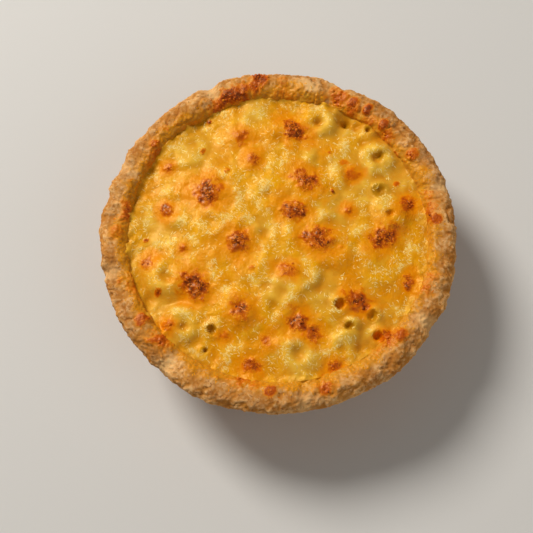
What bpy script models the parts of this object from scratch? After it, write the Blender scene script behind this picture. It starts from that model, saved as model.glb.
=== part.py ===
"""A macaroni cheese pie: a deep pastry case, open at the top and filled to just under its rim
with macaroni in cheese sauce, baked until the cheese on top browned in patches.

Metres, +Z up. The origin is on the table, under the middle of the pie.
"""

import math
import random

import bmesh
import bpy
from mathutils import Vector, noise

# ---- Driving dimensions, in metres ---------------------------------------------------------
PIE_DIAMETER = 0.190  # across the outer edge of the rim
PIE_HEIGHT = 0.053  # from the table to the top of the rim
BASE_DIAMETER = 0.160  # the flat underside
RIM_OUTER_WIDTH = 0.0070  # from the crown of the rim to its outer edge
RIM_INNER_WIDTH = 0.0085  # from the crown of the rim to the filling
RIM_DEPTH = 0.012  # the rim, seen from the side
WALL = 0.0075  # pastry at the foot of the side
FLOOR = 0.006  # pastry under the filling
FILL_DROP = 0.0075  # from the top of the rim down to the edge of the filling
DOME = 0.0055  # how far the filling rises from its edge to its middle
CLEARANCE = 0.0003  # between the pastry and the filling

TUBE_DIAMETER = 0.0080  # cooked macaroni
BORE_DIAMETER = 0.0046
BEND_RADIUS = 0.0060  # of the centre line of one elbow

# ---- How finely the shapes are divided -----------------------------------------------------
CASE_SEGMENTS = 132
WALL_STEPS = 3
RIM_STEPS = 10
FILL_RINGS = 21
TUBE_SIDES = 8
ELBOW_STEPS = 8

# ---- Places --------------------------------------------------------------------------------
# Creases pressed into the rim: the angle round the pie, in degrees, and the depth.
RIM_FOLDS = ((118, 0.0026), (73, 0.0020), (20, 0.0016), (331, 0.0022), (283, 0.0015),
             (236, 0.0024), (198, 0.0017), (160, 0.0013))

# Patches where the cheese browned and puffed up: x, y and radius.
TOASTED = (
    (0.005, 0.060, 0.0058), (-0.024, 0.054, 0.0042), (-0.016, 0.041, 0.0038),
    (-0.039, 0.020, 0.0070), (-0.060, 0.009, 0.0038), (0.013, 0.030, 0.0058),
    (0.038, 0.036, 0.0036), (0.008, 0.012, 0.0056), (0.037, 0.015, 0.0028),
    (0.022, -0.003, 0.0068), (-0.020, -0.007, 0.0060), (-0.049, -0.012, 0.0024),
    (0.056, 0.001, 0.0064), (0.007, -0.021, 0.0042), (-0.041, -0.032, 0.0068),
    (0.044, -0.034, 0.0054), (-0.016, -0.044, 0.0052), (0.015, -0.048, 0.0056),
    (0.022, -0.053, 0.0042), (-0.023, -0.058, 0.0026), (-0.001, -0.059, 0.0032),
    (0.060, -0.052, 0.0034), (-0.067, -0.020, 0.0032), (0.068, 0.021, 0.0044),
    (-0.062, 0.033, 0.0030), (-0.008, -0.072, 0.0040), (0.034, -0.069, 0.0034),
    (0.070, -0.022, 0.0036), (-0.052, -0.054, 0.0032),
)

# Elbows that show clearly: kind, x, y, heading in degrees, and how far they stand out.
CURL, BORE, ARCH = "curl", "bore", "arch"
SHOWN_ELBOWS = (
    (CURL, 0.018, 0.067, 215, 0.0030), (BORE, 0.045, 0.061, 235, 0.0026),
    (CURL, 0.054, 0.050, 300, 0.0032), (BORE, 0.053, 0.029, 210, 0.0024),
    (CURL, 0.058, 0.015, 190, 0.0030), (ARCH, 0.014, 0.044, 80, 0.0020),
    (ARCH, 0.030, 0.034, 125, 0.0022), (CURL, -0.056, -0.027, 60, 0.0028),
    (CURL, -0.044, -0.052, 340, 0.0024), (BORE, -0.030, -0.054, 60, 0.0022),
    (BORE, -0.033, -0.065, 65, 0.0020), (CURL, 0.016, -0.064, 70, 0.0026),
    (ARCH, 0.038, -0.054, 20, 0.0032), (BORE, 0.035, -0.035, 150, 0.0022),
    (BORE, 0.053, -0.040, 140, 0.0024), (BORE, 0.042, -0.046, 90, 0.0022),
    (BORE, 0.057, -0.050, 140, 0.0022),
)
SPREAD_COUNT = 64  # places tried for the elbows that hardly show
SPREAD_GAP = 0.0165  # least distance between the middles of two elbows
SPREAD_SEED = 11

# ---- Colours -------------------------------------------------------------------------------
PASTRY_COLOUR = (0.56, 0.29, 0.10, 1.0)
CHEESE_COLOUR = (0.78, 0.45, 0.08, 1.0)

# ---- Sizes worked out from the driving dimensions --------------------------------------------
BASE_RADIUS = BASE_DIAMETER / 2
CROWN_RADIUS = PIE_DIAMETER / 2 - RIM_OUTER_WIDTH
RIM_CENTRE_HEIGHT = PIE_HEIGHT - RIM_DEPTH / 2
LIP_ARC_START = math.radians(-40)  # under the lip, outside
# Radius and height of the case's inner side, from the rim down to the floor.
INNER_SIDE = ((CROWN_RADIUS - RIM_INNER_WIDTH, RIM_CENTRE_HEIGHT),
              (BASE_RADIUS - WALL + 0.002, FLOOR + 0.003),
              (BASE_RADIUS - WALL - 0.001, FLOOR))
FILL_EDGE_HEIGHT = PIE_HEIGHT - FILL_DROP
TUBE_RADIUS = TUBE_DIAMETER / 2
ELBOW_REACH = BEND_RADIUS + TUBE_RADIUS


def smooth_step(value):
    """0 below 0, 1 above 1, and an even rise between."""
    value = min(max(value, 0.0), 1.0)
    return value * value * (3 - 2 * value)


def side_radius(height):
    """Radius of the case's inner side at this height."""
    (top, high), (bottom, low) = INNER_SIDE[:2]
    return min(bottom + (top - bottom) * (height - low) / (high - low), top)


FILL_RADIUS = side_radius(FILL_EDGE_HEIGHT) - 1.3 * CLEARANCE


# ---- The pastry case -------------------------------------------------------------------------
def rim_fold(angle):
    """How deep the rim is creased at this angle."""
    total = 0.0
    for degrees, depth in RIM_FOLDS:
        away = math.remainder(angle - math.radians(degrees), math.tau)
        total += depth * math.exp(-((away / 0.045) ** 2))
    return total


def rim_outward(angle):
    """How far the hand-shaped rim strays outwards at this angle."""
    slow = 0.0006 * math.sin(2 * angle - 1.9) + 0.0004 * math.sin(5 * angle - 1.6)
    return slow + 0.0003 * math.sin(11 * angle + 4.0) - 0.25 * rim_fold(angle)


def rim_upward(angle):
    """How far the rim stands above its mean height at this angle."""
    slow = 0.0008 * math.sin(3 * angle + 1.1) + 0.0005 * math.sin(7 * angle + 0.4)
    return slow + 0.0004 * math.sin(13 * angle + 2.2) - rim_fold(angle)


def case_section():
    """The section of the case from the edge of the base, over the rim, to the inner floor.

    Each station is radius, height, and how strongly the rim's unevenness acts there.
    """
    lip_radius = CROWN_RADIUS + RIM_OUTER_WIDTH * math.cos(LIP_ARC_START)
    lip_height = RIM_CENTRE_HEIGHT + RIM_DEPTH / 2 * math.sin(LIP_ARC_START)
    foot = (BASE_RADIUS + 0.0016, 0.0014)
    wall_top = (lip_radius - 0.0032, lip_height - 0.0022)
    stations = [(BASE_RADIUS, 0.0, 0.0)]
    for step in range(WALL_STEPS + 1):
        share = step / WALL_STEPS
        radius = foot[0] + (wall_top[0] - foot[0]) * share
        height = foot[1] + (wall_top[1] - foot[1]) * share
        stations.append((radius, height, 0.6 * share))
    for step in range(RIM_STEPS + 1):
        share = step / RIM_STEPS
        arc = LIP_ARC_START + (math.pi - LIP_ARC_START) * share
        width = RIM_OUTER_WIDTH if math.cos(arc) > 0 else RIM_INNER_WIDTH
        radius = CROWN_RADIUS + width * math.cos(arc)
        height = RIM_CENTRE_HEIGHT + RIM_DEPTH / 2 * math.sin(arc)
        stations.append((radius, height, smooth_step((1 - share) * 3.5)))
    for radius, height in INNER_SIDE[1:]:
        stations.append((radius, height, 0.0))
    return stations


def case_point(angle, radius, height, share):
    """A point of the case, with the rim's wander and its crags added."""
    grain = Vector((radius * math.cos(angle), radius * math.sin(angle), height)) * 105
    crag = 0.0009 * noise.noise(grain) + 0.0006 * noise.noise(grain * 2.1)
    outward = radius + share * (rim_outward(angle) + crag)
    upward = height + share * height / PIE_HEIGHT * (rim_upward(angle) + crag)
    return Vector((outward * math.cos(angle), outward * math.sin(angle), upward))


def ring_faces(mesh, lower, upper):
    """Joins two rings of the same number of vertices."""
    count = len(lower)
    for index in range(count):
        following = (index + 1) % count
        mesh.faces.new((lower[index], lower[following], upper[following], upper[index]))


def fan_faces(mesh, ring, centre, upward):
    """Closes a ring with triangles to a centre vertex."""
    count = len(ring)
    for index in range(count):
        pair = (ring[index], ring[(index + 1) % count])
        mesh.faces.new((centre, *(pair if upward else reversed(pair))))


def pastry_case():
    """The case as one turned shell with an uneven rim."""
    mesh = bmesh.new()
    rings = []
    for radius, height, share in case_section():
        ring = []
        for segment in range(CASE_SEGMENTS):
            angle = math.tau * segment / CASE_SEGMENTS
            ring.append(mesh.verts.new(case_point(angle, radius, height, share)))
        rings.append(ring)
    for lower, upper in zip(rings, rings[1:]):
        ring_faces(mesh, lower, upper)
    fan_faces(mesh, rings[0], mesh.verts.new((0, 0, 0)), upward=False)
    fan_faces(mesh, rings[-1], mesh.verts.new((0, 0, FLOOR)), upward=True)
    return object_from(mesh, "pastry_case")


# ---- The filling's own surface -----------------------------------------------------------------
def fill_height(x, y):
    """Height of the melted cheese, before any macaroni stands out of it."""
    out = min(math.hypot(x, y) / FILL_RADIUS, 1.0)
    height = FILL_EDGE_HEIGHT + DOME * (1 - out ** 2.6)
    spot = Vector((x, y, 0.0))
    calm = 1 - 0.7 * smooth_step((out - 0.85) / 0.15)
    height += calm * (0.0010 * noise.noise(spot * 42) + 0.0008 * noise.noise(spot * 118))
    for patch_x, patch_y, radius in TOASTED:
        away = math.hypot(x - patch_x, y - patch_y) / radius
        if away < 2:
            height += 0.34 * radius * math.exp(-away * away * 1.4)
    return height


def filling_core():
    """Sauce and cheese without the elbows: rings of nearly equal triangles over a plain body."""
    mesh = bmesh.new()
    centre = mesh.verts.new((0, 0, fill_height(0, 0)))
    rings = []
    for number in range(1, FILL_RINGS + 1):
        radius = FILL_RADIUS * number / FILL_RINGS
        ring = []
        for segment in range(6 * number):
            angle = math.tau * segment / (6 * number)
            x, y = radius * math.cos(angle), radius * math.sin(angle)
            ring.append(mesh.verts.new((x, y, fill_height(x, y))))
        rings.append(ring)
    fan_faces(mesh, rings[0], centre, upward=True)
    for number, (inner, outer) in enumerate(zip(rings, rings[1:]), start=1):
        ring_band(mesh, inner, outer, number)
    upper = rings[-1]
    for radius, height in INNER_SIDE[1:]:
        lower = []
        for vertex in rings[-1]:
            outward = Vector((vertex.co.x, vertex.co.y, 0.0)).normalized()
            place = outward * (radius - 1.3 * CLEARANCE)
            place.z = max(height, FLOOR + CLEARANCE)
            lower.append(mesh.verts.new(place))
        ring_faces(mesh, lower, upper)
        upper = lower
    middle = mesh.verts.new((0, 0, FLOOR + CLEARANCE))
    fan_faces(mesh, upper, middle, upward=False)
    return object_from(mesh, "macaroni_cheese")


def ring_band(mesh, inner, outer, number):
    """Triangles between ring `number`, of 6 * number vertices, and the next, which has 6 more."""
    for sector in range(6):
        for step in range(number + 1):
            low = inner[(sector * number + step) % len(inner)]
            first = outer[(sector * (number + 1) + step) % len(outer)]
            second = outer[(sector * (number + 1) + step + 1) % len(outer)]
            mesh.faces.new((low, first, second))
            if step < number:
                nearby = inner[(sector * number + step + 1) % len(inner)]
                mesh.faces.new((low, second, nearby))


# ---- The elbows ----------------------------------------------------------------------------------
def past_the_side(point):
    """How far a tube whose middle passes through this point would reach into the case's side."""
    side = min(side_radius(point.z - TUBE_RADIUS), FILL_RADIUS) - 2 * CLEARANCE
    return math.hypot(point.x, point.y) + TUBE_RADIUS - side


def elbow_line(kind, x, y, heading, lift):
    """The centre line of one elbow. A curl lies flat, a bore turns one end up, an arch bridges."""
    along = Vector((math.cos(math.radians(heading)), math.sin(math.radians(heading)), 0.0))
    across = Vector((-along.y, along.x, 0.0))
    up = Vector((0.0, 0.0, 1.0))
    crest = fill_height(x, y) + lift
    if kind == CURL:
        centre = Vector((x, y, crest - TUBE_RADIUS))
        first, second, start, sweep = along, across, 55, 250
    elif kind == BORE:
        centre = Vector((x, y, crest - 0.001)) + along * BEND_RADIUS
        first, second, start, sweep = along, up, 172, 120
    else:
        centre = Vector((x, y, crest - TUBE_RADIUS - BEND_RADIUS))
        first, second, start, sweep = along, up, 5, 170
    points = []
    for step in range(ELBOW_STEPS + 1):
        turn = math.radians(start + sweep * step / ELBOW_STEPS)
        offset = first * math.cos(turn) + second * math.sin(turn)
        points.append(centre + offset * BEND_RADIUS)
    crossing = max(points, key=past_the_side)
    inward = -Vector((crossing.x, crossing.y, 0.0)).normalized()
    excess = max(past_the_side(crossing), 0.0)
    return [point + inward * excess for point in points]


def tube_frames(points):
    """For each point of a plane arc, two directions square to the tube."""
    normal = (points[0] - points[1]).cross(points[2] - points[1]).normalized()
    frames = []
    for index in range(len(points)):
        tangent = points[min(index + 1, len(points) - 1)] - points[max(index - 1, 0)]
        frames.append((tangent.normalized().cross(normal), normal))
    return frames


def tube_ring(mesh, centre, frame, radius):
    """A ring of vertices round the tube's centre line."""
    side, normal = frame
    ring = []
    for corner in range(TUBE_SIDES):
        turn = math.tau * corner / TUBE_SIDES
        ring.append(mesh.verts.new(centre + (side * math.cos(turn) + normal * math.sin(turn)) * radius))
    return ring


def elbow(kind, x, y, heading, lift):
    """One elbow. Only an end that turns up shows its bore, so only that end is hollowed."""
    points = elbow_line(kind, x, y, heading, lift)
    frames = tube_frames(points)
    mesh = bmesh.new()
    rings = [tube_ring(mesh, p, f, TUBE_RADIUS) for p, f in zip(points, frames)]
    for lower, upper in zip(rings, rings[1:]):
        ring_faces(mesh, lower, upper)
    mesh.faces.new(rings[-1])
    if kind == BORE:
        mouth = tube_ring(mesh, points[0], frames[0], BORE_DIAMETER / 2)
        inside = points[0] + (points[1] - points[0]).normalized() * 0.004
        bottom = tube_ring(mesh, inside, frames[0], BORE_DIAMETER / 2 * 0.8)
        ring_faces(mesh, mouth, rings[0])
        ring_faces(mesh, bottom, mouth)
        mesh.faces.new(reversed(bottom))
    else:
        mesh.faces.new(reversed(rings[0]))
    bmesh.ops.recalc_face_normals(mesh, faces=mesh.faces)
    return object_from(mesh, "elbow")


def spread_elbows():
    """More elbows by rule: a sunflower pattern, kept clear of the rim and of each other."""
    draw = random.Random(SPREAD_SEED)
    taken = [(x, y) for _, x, y, _, _ in SHOWN_ELBOWS]
    golden_angle = math.radians(137.508)
    found = []
    for number in range(SPREAD_COUNT):
        radius = (FILL_RADIUS - ELBOW_REACH - 0.001) * math.sqrt((number + 0.5) / SPREAD_COUNT)
        angle = number * golden_angle + draw.uniform(-0.2, 0.2)
        x, y = radius * math.cos(angle), radius * math.sin(angle)
        kind = draw.choice((CURL, CURL, ARCH))
        heading = draw.uniform(0, 360)
        if min(math.hypot(x - a, y - b) for a, b in taken) < SPREAD_GAP:
            continue
        taken.append((x, y))
        lift = 0.0009 + 0.0017 * (radius / FILL_RADIUS) ** 2
        found.append((kind, x, y, heading, lift))
    return found


def macaroni_cheese():
    """The core with every elbow joined on, as one solid."""
    core = filling_core()
    elbows = bpy.data.collections.new("elbows")
    bpy.context.scene.collection.children.link(elbows)
    for values in (*SHOWN_ELBOWS, *spread_elbows()):
        piece = elbow(*values)
        bpy.context.scene.collection.objects.unlink(piece)
        elbows.objects.link(piece)
    union = core.modifiers.new("join", "BOOLEAN")
    union.operation = "UNION"
    union.operand_type = "COLLECTION"
    union.collection = elbows
    union.solver = "EXACT"
    bpy.context.view_layer.objects.active = core
    bpy.ops.object.modifier_apply(modifier=union.name)
    for piece in list(elbows.objects):
        bpy.data.objects.remove(piece)
    bpy.data.collections.remove(elbows)
    return core


# ---- Objects and materials -----------------------------------------------------------------------
def object_from(mesh, name):
    """Turns a bmesh into an object in the scene."""
    bmesh.ops.recalc_face_normals(mesh, faces=mesh.faces)
    data = bpy.data.meshes.new(name)
    mesh.to_mesh(data)
    mesh.free()
    made = bpy.data.objects.new(name, data)
    bpy.context.scene.collection.objects.link(made)
    return made


def finish(piece, colour, roughness):
    """Smooth shading with the sharp creases kept, and one material."""
    material = bpy.data.materials.new(piece.name)
    material.use_nodes = True
    shader = material.node_tree.nodes["Principled BSDF"]
    shader.inputs["Base Color"].default_value = colour
    shader.inputs["Roughness"].default_value = roughness
    piece.data.materials.clear()
    piece.data.materials.append(material)
    piece.data.shade_smooth()
    piece.data.set_sharp_from_angle(angle=math.radians(50))


def main():
    for leftover in list(bpy.data.objects):
        bpy.data.objects.remove(leftover)
    case = pastry_case()
    filling = macaroni_cheese()
    finish(case, PASTRY_COLOUR, roughness=0.75)
    finish(filling, CHEESE_COLOUR, roughness=0.4)


main()
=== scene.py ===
# %% [markdown]
# # A macaroni cheese pie
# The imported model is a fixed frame: a deep pastry case and the filling inside it. This lesson
# dresses both. The real pie has four things to look at: the baked pastry, the macaroni, the
# cheese that melted over it, and the patches that browned. Each gets its own piece, at true
# size, in the same metres as the frame, so nothing has to be fitted afterwards.

# %% Load the fixed frame
import math
import random

import bpy
import numpy as np
from mathutils import Matrix, Vector, noise


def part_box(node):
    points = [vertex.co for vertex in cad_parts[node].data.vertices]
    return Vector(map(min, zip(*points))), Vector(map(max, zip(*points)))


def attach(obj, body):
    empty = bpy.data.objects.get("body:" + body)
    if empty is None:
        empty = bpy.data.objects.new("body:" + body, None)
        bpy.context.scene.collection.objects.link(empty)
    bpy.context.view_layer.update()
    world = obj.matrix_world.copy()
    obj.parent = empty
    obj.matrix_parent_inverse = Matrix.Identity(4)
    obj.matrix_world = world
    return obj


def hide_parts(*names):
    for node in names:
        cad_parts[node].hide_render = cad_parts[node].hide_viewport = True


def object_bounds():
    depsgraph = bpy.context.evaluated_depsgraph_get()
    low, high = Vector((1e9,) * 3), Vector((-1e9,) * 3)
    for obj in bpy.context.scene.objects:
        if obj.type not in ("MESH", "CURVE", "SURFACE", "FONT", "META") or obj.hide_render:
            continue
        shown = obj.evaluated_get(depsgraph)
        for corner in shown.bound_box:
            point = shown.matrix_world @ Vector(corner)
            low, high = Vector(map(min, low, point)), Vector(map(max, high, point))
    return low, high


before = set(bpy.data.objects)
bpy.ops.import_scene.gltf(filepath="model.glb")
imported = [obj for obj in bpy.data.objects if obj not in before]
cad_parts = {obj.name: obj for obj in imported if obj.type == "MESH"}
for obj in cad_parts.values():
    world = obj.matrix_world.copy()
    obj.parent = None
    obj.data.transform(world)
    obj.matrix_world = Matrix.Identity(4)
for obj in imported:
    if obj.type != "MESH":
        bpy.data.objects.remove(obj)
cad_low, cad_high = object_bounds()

_, fill_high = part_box("macaroni_cheese")
print("pie, mm:", [round(1000 * (b - a), 1) for a, b in zip(cad_low, cad_high)])

# %% [markdown]
# ## The sizes that the frame was built from
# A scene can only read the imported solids, so the few sizes that their shapes follow are
# written here again. Everything below is worked out from them. A good first check is to
# compare a size with the frame's own box.

# %% Driving sizes, in metres
PIE_DIAMETER = 0.190
PIE_HEIGHT = 0.053
BASE_DIAMETER = 0.160
RIM_OUTER_WIDTH = 0.0070
RIM_INNER_WIDTH = 0.0085
RIM_DEPTH = 0.012
WALL = 0.0075
FLOOR = 0.006
FILL_DROP = 0.0075
DOME = 0.0055
TUBE_RADIUS = 0.0040
BORE_RADIUS = 0.0026
BEND_RADIUS = 0.0060

BASE_RADIUS = BASE_DIAMETER / 2
CROWN_RADIUS = PIE_DIAMETER / 2 - RIM_OUTER_WIDTH
RIM_CENTRE_HEIGHT = PIE_HEIGHT - RIM_DEPTH / 2
FILL_EDGE_HEIGHT = PIE_HEIGHT - FILL_DROP
FILL_RADIUS = fill_high.x
ELBOW_REACH = BEND_RADIUS + TUBE_RADIUS
print("filling radius, mm:", round(1000 * FILL_RADIUS, 2))

# %% [markdown]
# ## Noise as a tool
# Food is uneven at every scale, so one small helper is used throughout: soft noise with hills
# of a given size. Blender's own Perlin noise takes one point at a time. NumPy's vectorize
# wraps it, so that whole arrays of points can be passed in.

# %% Helpers for soft unevenness
perlin = np.vectorize(lambda x, y, z: noise.noise((x, y, z)), otypes=[float])


def hills(x, y, z, size):
    """Soft noise from about -1 to 1, with hills about `size` metres across."""
    return perlin(x / size, y / size, z / size)


def smooth_step(value):
    """0 below 0, 1 above 1, and an even rise between."""
    value = np.clip(value, 0.0, 1.0)
    return value * value * (3 - 2 * value)


def smooth_max(first, second, softness):
    """The larger of two heights, with the corner between them filled like a fillet."""
    near = np.clip(1 - np.abs(first - second) / softness, 0, 1)
    return np.maximum(first, second) + softness / 4 * near * near


def below_ceiling(height):
    """Eases high places off, so that nothing rises out of the frame's box."""
    ease = 0.0010
    start = cad_high.z - 0.0003 - ease
    over = np.maximum(height - start, 0)
    return np.where(over > 0, start + ease * (1 - np.exp(-over / ease)), height)


# %% [markdown]
# ## The height map of the filling
# The melted top never folds over itself, so its whole shape fits in one height for each x and
# y. A square map with a sample every quarter of a millimetre is quick to fill with NumPy, and
# every piece that lies on the filling reads its height from the same map.

# %% The map's samples
MAP_STEP = 0.00025
MAP_HALF = 0.0845
map_line = np.arange(-MAP_HALF, MAP_HALF + MAP_STEP / 2, MAP_STEP)
map_x, map_y = np.meshgrid(map_line, map_line)
map_out = np.hypot(map_x, map_y)
print("height map:", map_x.shape)


def map_noise(size, layer=0.0):
    """Soft noise all over the map. Each layer is a different slice of the same noise."""
    return hills(map_x, map_y, np.full_like(map_x, layer * size), size)


def map_distance(x, y):
    """How far each sample of the map is from a place."""
    return np.hypot(map_x - x, map_y - y)


def window(x, y, reach):
    """The rows and columns of the map within `reach` of a place."""
    low_column = max(int((x - reach + MAP_HALF) / MAP_STEP), 0)
    low_row = max(int((y - reach + MAP_HALF) / MAP_STEP), 0)
    span = int(2 * reach / MAP_STEP) + 3
    return slice(low_row, low_row + span), slice(low_column, low_column + span)


def read_map(field, x, y):
    """The value of a map between its samples."""
    column = np.clip((x + MAP_HALF) / MAP_STEP, 0, len(map_line) - 1.001)
    row = np.clip((y + MAP_HALF) / MAP_STEP, 0, len(map_line) - 1.001)
    left, low = column.astype(int), row.astype(int)
    across, up = column - left, row - low
    below = field[low, left] * (1 - across) + field[low, left + 1] * across
    above = field[low + 1, left] * (1 - across) + field[low + 1, left + 1] * across
    return below * (1 - up) + above * up


def blur(field, width):
    """The map, averaged over about `width` metres."""
    steps = np.fft.fftfreq(len(map_line), MAP_STEP)
    spread = np.exp(-2 * (math.pi * width / 2.4) ** 2 * (steps[:, None] ** 2 + steps[None] ** 2))
    return np.real(np.fft.ifft2(np.fft.fft2(field) * spread))


# %% [markdown]
# ## Where the cheese browned
# Under a hot grill the highest bits brown first. The patches are listed: x, y, radius,
# how much longer than wide they are, the direction of the long side in degrees, and how dark.

# %% Browned patches
TOASTED = (
    (0.005, 0.060, 0.0058, 1.5, -40, 1.00), (-0.024, 0.054, 0.0042, 1.1, 20, 0.62),
    (-0.016, 0.041, 0.0038, 1.2, -30, 0.72), (-0.039, 0.020, 0.0070, 1.2, -60, 0.95),
    (-0.060, 0.009, 0.0038, 1.3, -50, 0.80), (0.013, 0.030, 0.0058, 1.5, -35, 0.88),
    (0.038, 0.036, 0.0036, 1.1, 30, 0.55), (0.008, 0.012, 0.0056, 1.2, -20, 0.95),
    (0.037, 0.015, 0.0028, 1.3, 90, 0.45), (0.022, -0.003, 0.0068, 1.5, -25, 0.90),
    (-0.020, -0.007, 0.0060, 1.1, 70, 0.90), (-0.049, -0.012, 0.0024, 1.0, 0, 0.62),
    (0.056, 0.001, 0.0064, 1.6, 50, 0.95), (0.007, -0.021, 0.0042, 1.2, -20, 0.62),
    (-0.041, -0.032, 0.0068, 1.2, -30, 1.00), (0.044, -0.034, 0.0054, 1.4, -25, 0.92),
    (-0.016, -0.044, 0.0052, 1.1, -60, 0.85), (0.015, -0.048, 0.0056, 1.3, -40, 0.88),
    (0.022, -0.053, 0.0042, 1.3, -50, 0.80), (-0.023, -0.058, 0.0026, 1.1, 0, 0.45),
    (-0.001, -0.059, 0.0032, 1.2, 60, 0.55), (0.060, -0.052, 0.0034, 1.2, 30, 0.85),
    (-0.067, -0.020, 0.0032, 1.2, 80, 0.60), (0.068, 0.021, 0.0044, 1.3, 60, 0.80),
    (-0.062, 0.033, 0.0030, 1.1, 0, 0.55), (-0.008, -0.072, 0.0040, 1.3, 10, 0.75),
    (0.034, -0.069, 0.0034, 1.2, 30, 0.65), (0.070, -0.022, 0.0036, 1.3, 80, 0.75),
    (-0.052, -0.054, 0.0032, 1.2, -30, 0.60),
)
SPECKS = (
    (-0.0427, 0.0632, 0.0012, 1.2, 0, 0.9), (0.0276, 0.0251, 0.0008, 2.0, -60, 1.0),
    (-0.0694, -0.0082, 0.0010, 1.3, 20, 0.8), (-0.0596, -0.0370, 0.0017, 1.2, 50, 0.7),
    (0.0250, 0.0480, 0.0010, 1.2, 0, 0.5), (-0.0440, 0.0450, 0.0015, 1.4, 70, 0.6),
    (0.0330, 0.0430, 0.0022, 1.6, 10, 0.4), (-0.0120, -0.0210, 0.0014, 1.3, 0, 0.4),
    (0.0620, 0.0330, 0.0014, 1.3, 40, 0.6), (-0.0300, 0.0330, 0.0020, 1.4, 40, 0.4),
)


def patch_distance(x, y, patch):
    """Distance from a patch's middle, where 1 is its own edge."""
    middle_x, middle_y, radius, stretch, heading, _ = patch
    turn = math.radians(heading)
    along = (x - middle_x) * math.cos(turn) + (y - middle_y) * math.sin(turn)
    across = (y - middle_y) * math.cos(turn) - (x - middle_x) * math.sin(turn)
    return np.hypot(along / math.sqrt(stretch), across * math.sqrt(stretch)) / radius


# %% The cheese before any macaroni stands out of it
def fill_height(x, y):
    """The same domed and rolling surface that the frame's filling has."""
    out = np.minimum(np.hypot(x, y) / FILL_RADIUS, 1.0)
    height = FILL_EDGE_HEIGHT + DOME * (1 - out ** 2.6)
    calm = 1 - 0.7 * smooth_step((out - 0.85) / 0.15)
    rolling = 0.0010 * perlin(x * 42, y * 42, 0.0 * x) + 0.0008 * perlin(x * 118, y * 118, 0.0 * x)
    height = height + calm * rolling
    for patch in TOASTED:
        away = np.hypot(x - patch[0], y - patch[1]) / patch[2]
        height = height + np.where(away < 2, 0.34 * patch[2] * np.exp(-away * away * 1.4), 0)
    return height


# %% [markdown]
# ## Real macaroni
# Each elbow is a hollow tube bent round less than a full turn. Some lie flat and look like
# curls, some turn one end up and show their bore, and some bridge like small arches. Sweeping
# a circle along an arc makes the tube. A curve with a bevel would do as well, but it has no
# inner wall, and the bore is what makes macaroni look like macaroni.

# %% The elbows and their places
CURL, BORE, ARCH = "curl", "bore", "arch"
SHOWN_ELBOWS = (
    (CURL, 0.018, 0.067, 215, 0.0030), (BORE, 0.045, 0.061, 235, 0.0026),
    (CURL, 0.054, 0.050, 300, 0.0032), (BORE, 0.053, 0.029, 210, 0.0024),
    (CURL, 0.058, 0.015, 190, 0.0030), (ARCH, 0.014, 0.044, 80, 0.0020),
    (ARCH, 0.030, 0.034, 125, 0.0022), (CURL, -0.056, -0.027, 60, 0.0028),
    (CURL, -0.044, -0.052, 340, 0.0024), (BORE, -0.030, -0.054, 60, 0.0022),
    (BORE, -0.033, -0.065, 65, 0.0020), (CURL, 0.016, -0.064, 70, 0.0026),
    (ARCH, 0.038, -0.054, 20, 0.0032), (BORE, 0.035, -0.035, 150, 0.0022),
    (BORE, 0.053, -0.040, 140, 0.0024), (BORE, 0.042, -0.046, 90, 0.0022),
    (BORE, 0.057, -0.050, 140, 0.0022),
)
MOUTHS = (  # where a bore opens: x, y, radius, width of its soft lip, depth, and how dark its inside is painted, as browning and painted shade
    (0.0448, 0.0632, 0.0011, 0.00162, 0.0022, 0.8),
    (0.0530, 0.0275, 0.0026, 0.00486, 0.0026, 0.3),
    (0.0588, 0.0140, 0.0014, 0.00324, 0.0020, 0.2),
    (-0.0295, -0.0550, 0.0020, 0.00216, 0.0028, 0.4),
    (-0.0320, -0.0655, 0.0009, 0.00162, 0.0018, 0.9),
    (0.0353, -0.0369, 0.0024, 0.00216, 0.0030, 0.8),
    (0.0522, -0.0414, 0.0021, 0.0027, 0.0026, 0.05),
    (0.0405, -0.0479, 0.0018, 0.0027, 0.0026, 0.05),
    (0.0550, -0.0517, 0.0020, 0.002025, 0.0030, 1.0),
    (0.0524, 0.0484, 0.0012, 0.00297, 0.0020, 0.25),
    # a dark gap under the rim, darkened as painted shadow
    (0.0328, 0.0672, 0.0012, 0.00351, 0.0020, 0.15),
)
SPREAD_COUNT = 64
SPREAD_GAP = 0.0165
SPREAD_SEED = 11


def spread_elbows():
    """More elbows by the frame's own rule: a sunflower pattern, clear of rim and neighbours."""
    draw = random.Random(SPREAD_SEED)
    taken = [(x, y) for _, x, y, _, _ in SHOWN_ELBOWS]
    golden_angle = math.radians(137.508)
    found = []
    for number in range(SPREAD_COUNT):
        radius = (FILL_RADIUS - ELBOW_REACH - 0.001) * math.sqrt((number + 0.5) / SPREAD_COUNT)
        angle = number * golden_angle + draw.uniform(-0.2, 0.2)
        x, y = radius * math.cos(angle), radius * math.sin(angle)
        kind = draw.choice((CURL, CURL, ARCH))
        heading = draw.uniform(0, 360)
        if min(math.hypot(x - a, y - b) for a, b in taken) < SPREAD_GAP:
            continue
        taken.append((x, y))
        lift = 0.0009 + 0.0017 * (radius / FILL_RADIUS) ** 2
        found.append((kind, x, y, heading, lift))
    return found


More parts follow.
